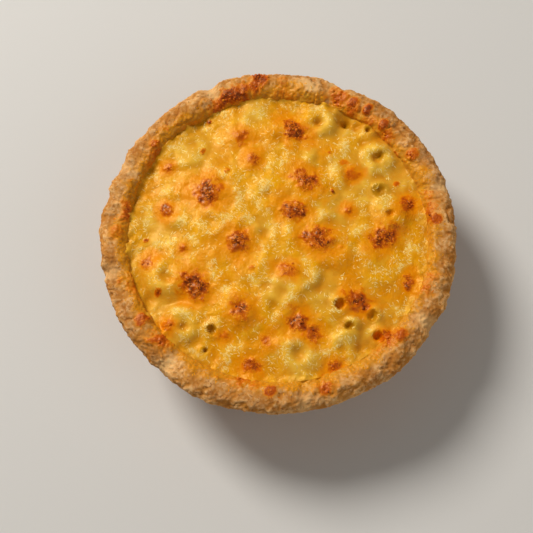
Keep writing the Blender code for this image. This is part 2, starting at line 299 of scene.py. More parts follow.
# %% The line that an elbow's tube follows
def elbow_line(kind, x, y, heading, lift, steps):
    """Points along the middle of one elbow, the direction square to its bend, and its centre."""
    turn = math.radians(heading)
    along = np.array((math.cos(turn), math.sin(turn), 0.0))
    across = np.array((-along[1], along[0], 0.0))
    up = np.array((0.0, 0.0, 1.0))
    crest = float(fill_height(np.array(x), np.array(y))) + lift
    # start and sweep say, in degrees, where the arc begins and how far it runs
    if kind == CURL:
        centre, second, start, sweep = (x, y, crest - TUBE_RADIUS), across, 55, 250
    elif kind == BORE:
        centre = (x, y, crest - 0.001) + along * BEND_RADIUS
        second, start, sweep = up, 172, 120
    else:
        centre, second, start, sweep = (x, y, crest - TUBE_RADIUS - BEND_RADIUS), up, 5, 170
    centre = np.array(centre)
    turns = np.radians(start + sweep * np.linspace(0, 1, steps))[:, None]
    line = centre + BEND_RADIUS * (along * np.cos(turns) + second * np.sin(turns))
    outward = np.hypot(line[:, 0], line[:, 1])
    excess = max(outward.max() + TUBE_RADIUS - (FILL_RADIUS - 0.0006), 0.0)
    pull = 1 - excess / outward.max()
    line[:, :2] *= pull
    centre[:2] *= pull
    return line, np.cross(along, second), centre


elbows = [*SHOWN_ELBOWS, *spread_elbows()]
print("elbows:", len(elbows), "of them shown clearly:", len(SHOWN_ELBOWS))

# %% A mesh from rows of points
def mesh_object(name, points, faces):
    """An object from points and faces, shaded smooth."""
    data = bpy.data.meshes.new(name)
    data.from_pydata(np.asarray(points).tolist(), [], faces)
    data.shade_smooth()
    made = bpy.data.objects.new(name, data)
    bpy.context.scene.collection.objects.link(made)
    return made


def strip_faces(rows, columns):
    """Quads between rows of points, each row closed on itself."""
    row, column = np.mgrid[0:rows - 1, 0:columns]
    low, following = row * columns, (column + 1) % columns
    quads = (low + column, low + following, low + columns + following, low + columns + column)
    return np.stack(quads, axis=-1).reshape(-1, 4)


def fan_faces(pole, row_start, columns, inward=False):
    """Triangles from a pole to a closed row of points."""
    column = np.arange(columns)
    following = (column + 1) % columns
    pair = (following, column) if inward else (column, following)
    return np.stack((np.full(columns, pole), row_start + pair[0], row_start + pair[1]), axis=-1)


def copies(pattern, count, stride):
    """The faces of one small shape, repeated for many shapes in one mesh."""
    steps = stride * np.arange(count)
    return [face for part in pattern
            for face in (part[None] + steps[:, None, None]).reshape(-1, part.shape[1]).tolist()]


def add_attribute(piece, name, values):
    """Stores one number for each point, which a material reads by name."""
    layer = piece.data.attributes.new(name, "FLOAT", "POINT")
    layer.data.foreach_set("value", np.asarray(values, dtype=np.float32).ravel())


# %% Sweep the hollow tubes
MACARONI_SIDES = 22
MACARONI_STEPS = 20
MACARONI_SEED = 5
MACARONI_COVER = 0.0022  # how far the tubes lie under the tops that the cheese is draped over
BORE_COVER = 0.0046  # the same, for tubes whose open end points up


def hollow_elbow(values, draw):
    """Points of one hollow elbow: rings down its outside, then back up its bore."""
    line, normal, _ = elbow_line(*values, MACARONI_STEPS)
    line[:, 2] -= BORE_COVER if values[0] == BORE else MACARONI_COVER
    tangent = np.gradient(line, axis=0)
    tangent /= np.linalg.norm(tangent, axis=1)[:, None]
    side = np.cross(tangent, normal)
    turns = np.linspace(0, math.tau, MACARONI_SIDES, endpoint=False)
    ring = side[:, None] * np.cos(turns)[None, :, None] + normal * np.sin(turns)[None, :, None]
    lip = 0.0003
    outer_radius = np.full(MACARONI_STEPS, TUBE_RADIUS * draw.uniform(0.97, 1.02))
    outer_radius[[0, -1]] -= lip
    inner_radius = np.full(MACARONI_STEPS, BORE_RADIUS)
    inner_radius[[0, -1]] += lip
    outer = line[:, None] + ring * outer_radius[:, None, None]
    inner = (line[:, None] + ring * inner_radius[:, None, None])[::-1]
    return np.concatenate((outer, inner, outer[:1])).reshape(-1, 3)


draw = random.Random(MACARONI_SEED)
points = np.concatenate([hollow_elbow(values, draw) for values in elbows])
rows = 2 * MACARONI_STEPS + 1
pattern = strip_faces(rows, MACARONI_SIDES)
macaroni = mesh_object("macaroni", points, copies([pattern], len(elbows), rows * MACARONI_SIDES))
print("macaroni triangles:", 2 * len(pattern) * len(elbows))

# %% [markdown]
# ## Melted cheese draped over the macaroni
# Cheese sauce clings to what lies under it. The map starts with the plain surface, and the
# top of every tube is added with a soft maximum, which leaves a fillet like real sauce does.
# A curl's open side fills with sauce, so it shows as a ring with a dimple in it.

# %% Tubes under the cheese
SAUCE_SAG = 0.0012
BORE_SINK = TUBE_RADIUS + 0.0004  # keeps an open end level with the sauce round it
tube_top = np.full_like(map_x, -1.0)


def add_ball(x, y, z):
    """Raises the map of tube tops to a ball as thick as the tube, with flanks of sauce."""
    rows, columns = window(x, y, 1.8 * TUBE_RADIUS)
    away = np.hypot(map_x[rows, columns] - x, map_y[rows, columns] - y)
    on_ball = np.minimum(away, 0.8 * TUBE_RADIUS)
    dome = z + np.sqrt(TUBE_RADIUS ** 2 - on_ball ** 2) - 1.4 * (away - on_ball)
    tube_top[rows, columns] = np.maximum(tube_top[rows, columns], dome)


for number, (kind, x, y, heading, lift) in enumerate(elbows):
    line, _, centre = elbow_line(kind, x, y, heading, lift, 48)
    wobble = np.sin(np.linspace(0, 7, 48)[:, None] + number * np.array((1, 2, 3)))
    for ball in line + 0.0005 * wobble - (0, 0, BORE_SINK if kind == BORE else 0):
        add_ball(*ball)
    if kind == CURL:
        for share in np.linspace(0.1, 0.9, 14):
            turn = math.radians(heading - 55 + 110 * share)
            add_ball(centre[0] + BEND_RADIUS * math.cos(turn),
                     centre[1] + BEND_RADIUS * math.sin(turn),
                     centre[2] - SAUCE_SAG * math.sin(math.pi * share))

# %% Golden and pale zones
PALE_PLACES = (  # x, y and radius of the zones where the sauce stayed pale and smooth
    (0.052, 0.040, 0.024), (0.048, -0.046, 0.018), (0.016, -0.068, 0.011),
    (-0.054, -0.036, 0.013), (-0.047, 0.044, 0.013), (0.026, 0.064, 0.013),
    (0.026, -0.032, 0.012), (-0.064, 0.000, 0.010), (0.034, 0.016, 0.012), (-0.018, 0.068, 0.009),
    (0.003, -0.032, 0.009), (-0.046, -0.056, 0.010), (-0.009, 0.003, 0.006), (0.014, 0.045, 0.006),
)
AMBER_PLACES = (  # x, y and radius of the zones where the cheese melted to a deep orange glaze
    (-0.037, 0.043, 0.009), (-0.010, 0.055, 0.008), (-0.034, -0.011, 0.009),
    (-0.016, -0.022, 0.007), (0.037, -0.019, 0.011), (0.022, 0.051, 0.008),
    (-0.008, -0.064, 0.008), (-0.052, 0.022, 0.007), (0.060, -0.030, 0.008),
    (0.002, 0.022, 0.006), (0.040, 0.070, 0.006), (-0.070, 0.020, 0.007),
)
SAUCE_POOLS = (  # x, y and radius of the places where sauce covers the macaroni more deeply
    (-0.018, 0.066, 0.013), (0.016, -0.064, 0.013), (-0.046, -0.056, 0.008), (0.008, -0.030, 0.010),
    (0.037, -0.062, 0.007), (0.060, 0.018, 0.006), (-0.052, -0.030, 0.008), (-0.058, 0.046, 0.012),
)
POOL_DEPTH = 0.0026
wander = 0.45 * map_noise(0.012, 2)


def zones(places):
    """A mask that is 1 in ragged round zones and falls to 0 round them."""
    mask = np.zeros_like(map_x)
    for x, y, radius in places:
        mask = np.maximum(mask, smooth_step(1.40 - map_distance(x, y) / radius + wander))
    return mask


gold = 1 - zones(PALE_PLACES)
amber = np.maximum(smooth_step(1.6 * map_noise(0.011, 12) - 0.2), zones(AMBER_PLACES))
amber *= 0.25 + 0.75 * gold

# %% The sauce that joins them
FILM = 0.00040
FLOOD = 0.0011  # how much deeper the golden cheese lies over the macaroni
base_top = fill_height(map_x, map_y)
patch_cover = np.zeros_like(map_x)
for patch in TOASTED:
    patch_cover = np.maximum(patch_cover, np.exp(-patch_distance(map_x, map_y, patch) ** 2))
pools = zones(SAUCE_POOLS)
flooded = np.maximum(gold, pools)
flood = FLOOD * (0.3 + 0.7 * gold) * (1 - patch_cover) * (0.7 + 0.9 * map_noise(0.009, 6))
flood += POOL_DEPTH * pools
film = FILM * (1 + 1.3 * map_noise(0.006, 3))
cheese_top = smooth_max(base_top + flood, tube_top + film, 0.0038)
for x, y, radius, _, _, _ in MOUTHS:
    collar = np.exp(-((map_distance(x, y) - radius - 0.0012) / 0.0026) ** 2)
    cheese_top += 0.0006 * collar * (1 + 1.2 * map_noise(0.0040, 17))
cheese_top = blur(cheese_top, 0.0020)
cheese_top += (blur(cheese_top, 0.0052) - cheese_top) * 0.85 * flooded

# %% Dimples and hollows between the pieces
HOLLOWS = (  # x, y, radius and depth
    (0.0560, 0.0500, 0.0030, 0.0016), (-0.0550, -0.0290, 0.0028, 0.0018),
    (-0.0437, -0.0545, 0.0024, 0.0020),
    (0.0157, -0.0640, 0.0040, 0.0020), (0.0367, -0.0608, 0.0026, 0.0026),
    (0.0324, 0.0678, 0.0036, 0.0032), (0.0390, 0.0650, 0.0022, 0.0018),
    (0.0230, -0.0300, 0.0060, 0.0010), (-0.0240, 0.0280, 0.0030, 0.0008),
    (0.0216, 0.0177, 0.0050, 0.0009), (0.0470, -0.0600, 0.0024, 0.0014),
    (-0.0660, -0.0410, 0.0034, 0.0020), (0.0420, 0.0560, 0.0026, 0.0014),
    (-0.0150, -0.0200, 0.0034, 0.0009), (0.0050, -0.0340, 0.0040, 0.0008),
)
CURL_DIMPLE = (0.0020, 0.0013)  # the radius and depth of the dimple inside a curl


def dimple(x, y, radius, depth):
    """A soft round hollow, which is shallower where the cheese is golden."""
    return depth * np.exp(-(map_distance(x, y) / radius) ** 2) * (1 - 0.8 * gold)


for values in HOLLOWS:
    cheese_top -= dimple(*values)
for values in elbows:
    if values[0] == CURL:
        x, y, _ = elbow_line(*values, 8)[2]
        cheese_top -= dimple(x, y, *CURL_DIMPLE) * (1 - pools)

# %% Open bores
# the inside of each bore is painted olive to dark brown: painted shade, with some browning
opening, mouth, bore_shade_and_toast, sunk = (np.zeros_like(map_x) for _ in range(4))
lip_unevenness = 0.0008 * map_noise(0.0030, 15)
for x, y, radius, softness, depth, browned in MOUTHS:
    from_lip = map_distance(x, y) - radius + lip_unevenness
    well = smooth_step(0.4 - from_lip / softness)
    opening = np.maximum(opening, smooth_step((0.0010 - from_lip) / 0.0010))
    mouth = np.maximum(mouth, smooth_step(0.9 - from_lip / softness))
    bore_shade_and_toast = np.maximum(bore_shade_and_toast, well * browned)
    sunk = np.maximum(sunk, depth * well + 0.0004 * smooth_step(1 - from_lip / 0.0018))
print("deepest dimple, mm:", round(1000 * float((base_top - cheese_top)[map_out < 0.075].max()), 2))

# %% [markdown]
# ## Masks for the cheese
# A mask says how much of something there is at each place: brown toast, the orange glow round
# it, the golden stringy zones, and the pale zones where macaroni lies close under the sauce.
# Masks are made once, on the map, and both the relief and the material use them.

# %% Toast and glow
toast = np.zeros_like(map_x)
glow = np.zeros_like(map_x)
ragged = 0.55 * map_noise(0.0042) + 0.26 * map_noise(0.0018, 1)
drift = 0.8 * map_noise(0.011, 8)
for patch in (*TOASTED, *SPECKS):
    away = patch_distance(map_x, map_y, patch)
    toast = np.maximum(toast, patch[5] * smooth_step((1.55 - away + ragged) / 1.25))
    reach = 1.3 if patch in SPECKS else 2.6
    glow = np.maximum(glow, smooth_step((reach - away + ragged + drift) / 1.5))
spots = 0.50 * map_noise(0.0032, 43) + 0.25 * map_noise(0.0016, 47)
toast = np.clip(toast * (1.08 + spots), 0, 1)  # darker and lighter spots
print("browned share:", round(float((toast[map_out < FILL_RADIUS] > 0.5).mean()), 3))

# %% [markdown]
# ## Relief of the cheese
# Three scales make it believable: lumps of a few millimetres, curds about a millimetre wide
# in the golden zones, and crags where it browned. Where the cheese meets the pastry it
# climbs up the rim a little, as any liquid does.

# %% Lumps, curds and crags
BROAD_LUMPS, FINE_LUMPS, CURD_HEIGHT = 0.00034, 0.00024, 0.00020
TOAST_RISE, CRAG_HEIGHT = 0.0006, 0.0017
curds = np.abs(map_noise(0.0019, 5))
crag = 0.70 * np.abs(map_noise(0.0046, 23)) + 0.32 * map_noise(0.0023, 29) + 0.06
solid = 1 - opening
lumps = BROAD_LUMPS * map_noise(0.0060, 7) + FINE_LUMPS * map_noise(0.0034, 9)
cheese_top += solid * lumps * (0.50 + 0.50 * gold)
cheese_top += solid * (CURD_HEIGHT * curds * (0.2 + 0.8 * gold) * (1 - toast))
cheese_top += solid * toast * (TOAST_RISE + CRAG_HEIGHT * (crag - 0.22))

# %% Where the cheese meets the pastry
CHEESE_EDGE = FILL_RADIUS + 0.0027  # inside the pastry, so that no gap shows
CLIMB_HEIGHT, CLIMB_REACH = 0.0040, 0.0034
ROLL_DEPTH, ROLL_REACH = 0.0032, 0.0014  # the very edge rolls down out of sight
EDGE_NOISE_SIZE = 0.0060
EDGE_NOISE_LAYER = 33


def edge_noise(x, y):
    """About 0 where the cheese beside the rim stayed yellow, and 1 or more where it is darker, browned
    and with painted shade.
    """
    slice_height = np.full_like(x, EDGE_NOISE_LAYER * EDGE_NOISE_SIZE)
    return 0.85 + 1.3 * hills(x, y, slice_height, EDGE_NOISE_SIZE)


from_edge = np.maximum(CHEESE_EDGE - map_out, 0)
climb = CLIMB_HEIGHT * np.exp(-from_edge / CLIMB_REACH) * (0.8 + 0.9 * map_noise(0.010, 31))
climb *= 1 + 0.6 * map_noise(0.0036, 35)
cheese_top += climb - ROLL_DEPTH * smooth_step(1 - from_edge / ROLL_REACH)
# the cheese beside the rim is painted darker: browning against the pastry, and painted shade under the
# rim
edge = np.exp(-np.maximum(from_edge - 0.0026, 0) / 0.0038)
edge *= smooth_step(edge_noise(map_x, map_y))

# %% Crests, hollows and creamy places, which also carry painted light and shade
# crest marks the tops and hollow the low places; the materials paint the low places darker, as painted
# shade
crest = smooth_step(0.5 + (cheese_top - blur(cheese_top, 0.0080)) / 0.0018)
hollow = blur(smooth_step((blur(cheese_top, 0.0045) - cheese_top) / 0.0013), 0.0016)
cheese_top = below_ceiling(cheese_top) - sunk
print("highest cheese, mm:", round(1000 * float(cheese_top[map_out < FILL_RADIUS].max()), 2),
      "and the frame's filling:", round(1000 * fill_high.z, 2))
# creamy patches at random, and paler on the crests as painted light
cream_and_lit = smooth_step(0.30 + 1.3 * map_noise(0.0060, 41) + 0.7 * (crest - 0.5))
cream_and_lit *= (1 - glow) * (1 - 0.8 * amber)

# %% The cheese as one closed mesh
CHEESE_RINGS = 178
CHEESE_FOOT = 0.030


def disc(radius, count):
    """Rings of points with even spacing, and the triangles between them."""
    points = [(0.0, 0.0)]
    starts = [0]
    faces = []
    for number in range(1, count + 1):
        starts.append(len(points))
        turns = np.linspace(0, math.tau, 6 * number, endpoint=False)
        reach = radius * number / count
        points.extend(zip(reach * np.cos(turns), reach * np.sin(turns)))
    for number in range(count):
        inner, outer = starts[number], starts[number + 1]
        inner_count, outer_count = max(6 * number, 1), 6 * (number + 1)
        for sector in range(6):
            for step in range(number + 1):
                low = inner + (sector * number + step) % inner_count
                first = outer + (sector * (number + 1) + step) % outer_count
                second = outer + (sector * (number + 1) + step + 1) % outer_count
                faces.append((low, first, second))
                if step < number:
                    beside = inner + (sector * number + step + 1) % inner_count
                    faces.append((low, second, beside))
    return np.array(points), faces, starts[-1]


flat_points, faces, edge_start = disc(CHEESE_EDGE, CHEESE_RINGS)

# %% Close it below and store its masks
heights = read_map(cheese_top, flat_points[:, 0], flat_points[:, 1])
top_points = np.column_stack((flat_points, heights))
edge_count = 6 * CHEESE_RINGS
foot_points = top_points[edge_start:] * (0.94, 0.94, 0.0) + (0.0, 0.0, CHEESE_FOOT)
points = np.concatenate((top_points, foot_points, ((0.0, 0.0, CHEESE_FOOT),)))
for index in range(edge_count):
    following = (index + 1) % edge_count
    top, foot = edge_start, edge_start + edge_count
    faces.append((foot + index, foot + following, top + following, top + index))
    faces.append((len(points) - 1, foot + following, foot + index))
melted_cheese = mesh_object("melted_cheese", points, faces)
for name, field in (("toast", toast), ("glow", glow), ("gold", gold), ("hollow", hollow),
                    ("crest", crest), ("edge", edge), ("cream_and_lit", cream_and_lit), ("amber", amber),
                    ("mouth", mouth), ("bore_shade_and_toast", bore_shade_and_toast)):
    add_attribute(melted_cheese, name, read_map(field, points[:, 0], points[:, 1]))
print("melted cheese triangles:", len(faces) + edge_count)

# %% [markdown]
# ## Strands of grated cheese
# The golden zones were covered with grated cheese, and its short strands never melt away
# quite. Each is a low tapered ridge that follows the height map, with both long edges sunk
# just under it. They lie in flowing directions, as they do when cheese runs, and crowd on
# the crests, because they slide off into the hollows and melt there.

# %% Choose where strands lie
STRAND_COUNT = 16000
STRAND_STEPS = 4
STREWN_SEED = 23  # for the strands and the crumbs
rng = np.random.default_rng(STREWN_SEED)


def scattered(count):
    """Random places, spread evenly over the filling."""
    radius = (FILL_RADIUS - 0.001) * np.sqrt(rng.random(count))
    angle = rng.uniform(0, math.tau, count)
    return radius * np.cos(angle), radius * np.sin(angle)


x, y = scattered(6 * STRAND_COUNT)
density = (0.22 + 0.78 * gold) * (0.20 + 0.80 * crest) * (1 - opening) * (1 - 0.50 * toast)
density *= (1 - 0.60 * amber) * smooth_step(0.75 + 1.2 * map_noise(0.0050, 51))
density *= 0.7 + 0.6 * cream_and_lit
kept = np.flatnonzero(rng.random(len(x)) < 1.3 * read_map(density, x, y))[:STRAND_COUNT]
x, y = x[kept][:, None], y[kept][:, None]
count = len(kept)
flow = 5.0 * perlin(x * 90, y * 90, 0 * x + 7.0) + rng.normal(0, 0.9, (count, 1))
length = rng.uniform(0.0010, 0.0025, (count, 1))
thickness = rng.uniform(0.00018, 0.00032, (count, 1))

# %% Lay the strands
STRAND_TAPER = np.array((0.35, 1.0, 1.0, 0.35))
STRAND_SECTION = np.array(((-1.0, -0.06), (0.0, 0.40), (1.0, -0.06)))  # across and up
STRAND_SIZE = STRAND_STEPS * len(STRAND_SECTION)  # points in one strand


def strands_along(name, line, up, thickness):
    """One mesh of tapered strands, with both long edges sunk into what they lie on.

    `line` holds the points along the middle of each, and `up` points out of the surface.
    """
    count = len(line)
    run = np.gradient(line, axis=1)
    side = np.cross(np.broadcast_to(up, run.shape), run)
    side /= np.linalg.norm(side, axis=2)[..., None] + 1e-12
    across, above = STRAND_SECTION[:, :1], STRAND_SECTION[:, 1:]
    ring = side[:, :, None] * across + np.broadcast_to(up, run.shape)[:, :, None] * above
    points = line[:, :, None] + ring * (thickness * STRAND_TAPER)[..., None, None]
    width = len(STRAND_SECTION)
    row, column = np.mgrid[0:STRAND_STEPS - 1, 0:width - 1]
    low = width * row + column
    pattern = np.stack((low, low + width, low + width + 1, low + 1), axis=-1).reshape(-1, 4)
    print(name, "triangles:", 2 * count * len(pattern))
    points = points.reshape(-1, 3)
    return mesh_object(name, points, copies([pattern], count, STRAND_SIZE)), points


from_middle = np.linspace(-0.5, 0.5, STRAND_STEPS)
turns = flow + rng.normal(0, 1.6, (count, 1)) * from_middle
step = length / (STRAND_STEPS - 1)
line_x = x + np.cumsum(np.cos(turns) * step, axis=1) - np.cos(flow) * length / 2
line_y = y + np.cumsum(np.sin(turns) * step, axis=1) - np.sin(flow) * length / 2
line = np.stack((line_x, line_y, read_map(cheese_top, line_x, line_y)), axis=-1)
cheese_strands, points = strands_along("cheese_strands", line, (0.0, 0.0, 1.0), thickness)
for name, field in (("glow", glow), ("gold", gold), ("crest", crest), ("edge", edge),
                    ("amber", amber)):
    add_attribute(cheese_strands, name, read_map(field, points[:, 0], points[:, 1]))
# some strands are painted pale: paler grated cheese, and painted highlights on the strands
pale_chance = 0.24 + 0.66 * read_map(cream_and_lit, x, y) - 0.20 * read_map(glow, x, y)
paleness = np.where(rng.random((count, 1)) < pale_chance, 1.0, 0.05)
paleness *= rng.uniform(0.20, 1.0, (count, 1))
add_attribute(cheese_strands, "cream_and_lit", np.repeat(paleness, STRAND_SIZE, axis=1))
browned = read_map(toast, x, y) * rng.uniform(0.35, 1.0, (count, 1))
add_attribute(cheese_strands, "toast", np.repeat(browned, STRAND_SIZE, axis=1))

# %% [markdown]
# ## The pastry case
# Shortcrust is pressed into a deep tin by hand, and its edge is rolled over and left plain.
# The case is a turned shape, so its section is written once, from the middle of the underside
# over the rim to the inner floor, and swept round. Hand-made unevenness acts most on the rim.

# %% Unevenness of the rim
RIM_FOLDS = ((118, 0.0026), (73, 0.0020), (20, 0.0016), (331, 0.0022), (283, 0.0015),
             (236, 0.0024), (198, 0.0017), (160, 0.0013))


def angle_from(angle, degrees):
    """The signed angle from a bearing in degrees, in radians."""
    return np.remainder(angle - math.radians(degrees) + math.pi, math.tau) - math.pi


def rim_fold(angle):
    """How deep the rim is creased at this angle, as in the frame."""
    return sum(depth * np.exp(-((angle_from(angle, degrees) / 0.045) ** 2))
               for degrees, depth in RIM_FOLDS)


def rim_outward(angle):
    """How far the hand-shaped rim strays outwards at this angle, as in the frame."""
    slow = 0.0006 * np.sin(2 * angle - 1.9) + 0.0004 * np.sin(5 * angle - 1.6)
    return slow + 0.0003 * np.sin(11 * angle + 4.0) - 0.25 * rim_fold(angle)


def rim_upward(angle):
    """How far the rim stands above its mean height at this angle, as in the frame."""
    slow = 0.0008 * np.sin(3 * angle + 1.1) + 0.0005 * np.sin(7 * angle + 0.4)
    return slow + 0.0004 * np.sin(13 * angle + 2.2) - rim_fold(angle)


# %% The section of the case
LIP_ARC_START = math.radians(-40)
UNDERSIDE_STEPS, FOOT_STEPS, WALL_STEPS, LIP_STEPS, RIM_STEPS = 9, 4, 20, 5, 56
lip = np.array((CROWN_RADIUS + RIM_OUTER_WIDTH * math.cos(LIP_ARC_START),
                RIM_CENTRE_HEIGHT + RIM_DEPTH / 2 * math.sin(LIP_ARC_START)))
foot = np.array((BASE_RADIUS + 0.0016, 0.0014))
wall_top = lip - (0.0032, 0.0022)


def straight(start, end, steps):
    """Stations along a straight stretch, without its last point."""
    share = np.linspace(0, 1, steps, endpoint=False)[:, None]
    return np.array(start) + (np.array(end) - np.array(start)) * share


arc = np.linspace(LIP_ARC_START, math.pi, RIM_STEPS)
rim_width = np.where(np.cos(arc) > 0, RIM_OUTER_WIDTH, RIM_INNER_WIDTH)
rim = np.column_stack((CROWN_RADIUS + rim_width * np.cos(arc),
                       RIM_CENTRE_HEIGHT + RIM_DEPTH / 2 * np.sin(arc)))
section = np.concatenate((
    straight((0.003, 0.0), (BASE_RADIUS, 0.0), UNDERSIDE_STEPS),
    straight((BASE_RADIUS, 0.0), foot, FOOT_STEPS),
    straight(foot, wall_top, WALL_STEPS),
    straight(wall_top, lip, LIP_STEPS),
    rim,
    ((CROWN_RADIUS - RIM_INNER_WIDTH - 0.0003, 0.0450),
     (BASE_RADIUS - WALL + 0.002, FLOOR + 0.003),
     (BASE_RADIUS - WALL - 0.001, FLOOR)),
))
before_wall = UNDERSIDE_STEPS + FOOT_STEPS
before_lip = before_wall + WALL_STEPS
before_rim = before_lip + LIP_STEPS
rim_share = np.zeros(len(section))  # how much of the rim's unevenness each station takes
rim_share[before_wall:before_lip] = 0.6 * np.linspace(0, 1, WALL_STEPS)
rim_share[before_lip:before_rim] = np.linspace(0.6, 1, LIP_STEPS)
rim_share[before_rim:before_rim + RIM_STEPS] = smooth_step(np.linspace(1, 0, RIM_STEPS) * 3.5)
dough_share = np.ones(len(section))  # how much of the dough's lumps each station takes
dough_share[:before_wall] = 0.25
dough_share[before_wall:before_lip] = 0.45
dough_share[before_rim + RIM_STEPS:] = 0
print("stations in the section:", len(section))

# %% Sweep the section and shape the dough
CASE_SEGMENTS = 1000
angle, station = np.meshgrid(np.linspace(0, math.tau, CASE_SEGMENTS, endpoint=False),
                             np.arange(len(section)))
radius, height = section[station, 0], section[station, 1]
slope = np.gradient(section, axis=0)
slope /= np.maximum(np.linalg.norm(slope, axis=1), 1e-9)[:, None]
face_out, face_up = slope[station, 1], -slope[station, 0]
x, y = radius * np.cos(angle), radius * np.sin(angle)
share = rim_share[station]
on_rim = smooth_step((station - before_lip) / LIP_STEPS)
crag = 0.0009 * perlin(x * 105, y * 105, height * 105)
crag += 0.0006 * perlin(x * 220, y * 220, height * 220)
radius = radius + share * (rim_outward(angle) + crag)
height = height + share * height / PIE_HEIGHT * (rim_upward(angle) + crag)

# %% Lumps, grain and cracks of the dough
DOUGH_ROLL, DOUGH_FOLDS, DOUGH_GRAIN = 0.00050, 0.00050, 0.00030  # heights, broad to fine
RIM_LUMPS = 0.00080
CRACK_DEPTH = 0.00055
RIDGE_HEIGHT = 0.00070


def case_noise(size, lift=0.0):
    """Soft noise over the case's own surface. Each lift is a different slice of it."""
    return hills(x, y, height + lift, size)


cracks = np.clip(1 - 9 * np.abs(case_noise(0.0065)), 0, 1)
cracks *= smooth_step(case_noise(0.016, lift=0.1) * 2.5) * on_rim
swell = DOUGH_ROLL * case_noise(0.0042) + DOUGH_FOLDS * np.abs(case_noise(0.0021))
swell += DOUGH_GRAIN * case_noise(0.0012) - CRACK_DEPTH * cracks
swell += RIM_LUMPS * on_rim * np.abs(case_noise(0.0030, lift=0.3))
# ridge marks the high dough, which the material paints lighter (flour and painted highlight), and the
# low dough darker (painted shade)
ridge = smooth_step(0.15 + on_rim * swell / RIDGE_HEIGHT + 0.6 * case_noise(0.0070))
swell *= dough_share[station]

# %% [markdown]
# ## Knobs, bubbled cheese and browned edges on the rim
# The rim is never even: dough lumps stand out of it, and cheese that boiled over has baked
# on to its inner slope. `across` runs from 0 under the lip, over the crown at 0.6, to 1
# where the filling starts.

# %% Knobs of dough and cheese
KNOBS = (  # angle in degrees, distance from the middle, width, height, how browned or floury (-)
    (84, 0.0856, 0.0058, 0.0030, -1.00), (79, 0.0832, 0.0036, 0.0022, -0.85),
    (73, 0.0890, 0.0034, 0.0020, 0.35),
    (59, 0.0862, 0.0024, 0.0024, 0.95), (51, 0.0842, 0.0026, 0.0018, 0.85),
    (65, 0.0858, 0.0026, 0.0012, 0.80), (92, 0.0880, 0.0030, 0.0007, 0.30),
    (127, 0.0866, 0.0060, 0.0010, 0.00), (35, 0.0850, 0.0030, 0.0014, 0.60),
    (8, 0.0846, 0.0026, 0.0016, 0.80), (345, 0.0862, 0.0045, 0.0010, 0.00),
    (322, 0.0842, 0.0030, 0.0017, 0.70), (301, 0.0868, 0.0050, 0.0010, 0.10),
    (272, 0.0846, 0.0028, 0.0016, 0.75), (251, 0.0860, 0.0040, 0.0012, 0.00),
    (219, 0.0844, 0.0030, 0.0015, 0.75), (184, 0.0850, 0.0036, 0.0012, 0.40),
    (168, 0.0866, 0.0040, 0.0010, 0.00), (147, 0.0846, 0.0026, 0.0013, 0.60),
)
across = np.clip((station - before_rim) / (RIM_STEPS - 1), -0.3, 1.2)
rough = 0.6 * case_noise(0.0050) + 0.45 * case_noise(0.0021)
facets = np.abs(case_noise(0.0017))
toasted_rim, floury_lumps = np.zeros_like(angle), np.zeros_like(angle)
for degrees, reach, width, rise, browned in KNOBS:
    turn = math.radians(degrees)
    away = np.hypot(x - reach * math.cos(turn), y - reach * math.sin(turn)) / width + 0.60 * rough
    bump = np.exp(-away ** 2) * (across > 0.2)
    swell += rise * bump * (0.75 + 0.9 * rough + 0.8 * facets)
    toasted_rim = np.maximum(toasted_rim, browned * smooth_step(bump * 1.5))
    floury_lumps = np.maximum(floury_lumps, -browned * smooth_step(bump * (1.4 + rough)))

# %% Cheese that boiled over and baked on the rim
BAKED_ON = (  # angle and half width in degrees, where across the rim, and how dark
    (111, 9, 0.74, 0.95), (103, 5, 0.66, 0.80), (100, 3, 0.50, 0.95), (119, 5, 0.84, 0.70),
    (70, 6, 0.68, 0.72), (64, 4, 0.78, 0.60), (91, 6, 0.84, 0.35), (56, 4, 0.84, 0.50),
    (47, 4, 0.82, 0.75), (131, 6, 0.92, 0.40), (12, 6, 0.80, 0.70), (343, 5, 0.76, 0.55),
    (318, 7, 0.82, 0.65), (290, 4, 0.66, 0.75), (262, 7, 0.84, 0.55), (229, 5, 0.74, 0.80),
    (206, 6, 0.86, 0.50), (176, 6, 0.84, 0.70), (150, 6, 0.86, 0.50),
)
for degrees, half_width, place, darkness in BAKED_ON:
    away = np.degrees(angle_from(angle, degrees)) / half_width
    distance = np.hypot(away, (across - place) / 0.17)
    spread = smooth_step((1.45 - distance + 1.1 * rough) / 1.5)
    toasted_rim = np.maximum(toasted_rim, darkness * spread)

# %% The glaze of melted cheese on the inner slope
GLAZE_START, MELT_START = 0.62, 0.74  # across the rim
GLAZE_DEPTH, GLAZE_LUMPS = 0.0003, 0.0008
BAKED_DEPTH, BAKED_LUMPS = 0.0002, 0.0012
SWELL_INSET = 0.0005  # keeps the lumps inside the frame's box
slope_noise = 0.5 * case_noise(0.0110) + 0.60 * rough
glaze = smooth_step((across - GLAZE_START + 0.30 * slope_noise) / 0.16) * on_rim
yellow = 1 - smooth_step(edge_noise(x, y))  # where the cheese beside it stayed yellow
melt = np.maximum(yellow, 0.25) * smooth_step((across - MELT_START + 0.30 * rough) / 0.18)
glaze = np.maximum(glaze, smooth_step(1.8 * toasted_rim))
toasted_rim = np.maximum(toasted_rim, 0.55 * glaze * smooth_step(1.6 * rough - 0.15))
swell += on_rim * toasted_rim * (BAKED_DEPTH + BAKED_LUMPS * np.abs(case_noise(0.0024)))
swell *= 1 - 0.3 * glaze * (1 - toasted_rim)  # cheese smooths what it covers
swell += on_rim * glaze * (GLAZE_DEPTH + GLAZE_LUMPS * np.abs(case_noise(0.0034, lift=0.2)))
swell -= SWELL_INSET * dough_share[station]
radius = radius + face_out * swell
height = np.maximum(below_ceiling(height + face_up * swell), 0)

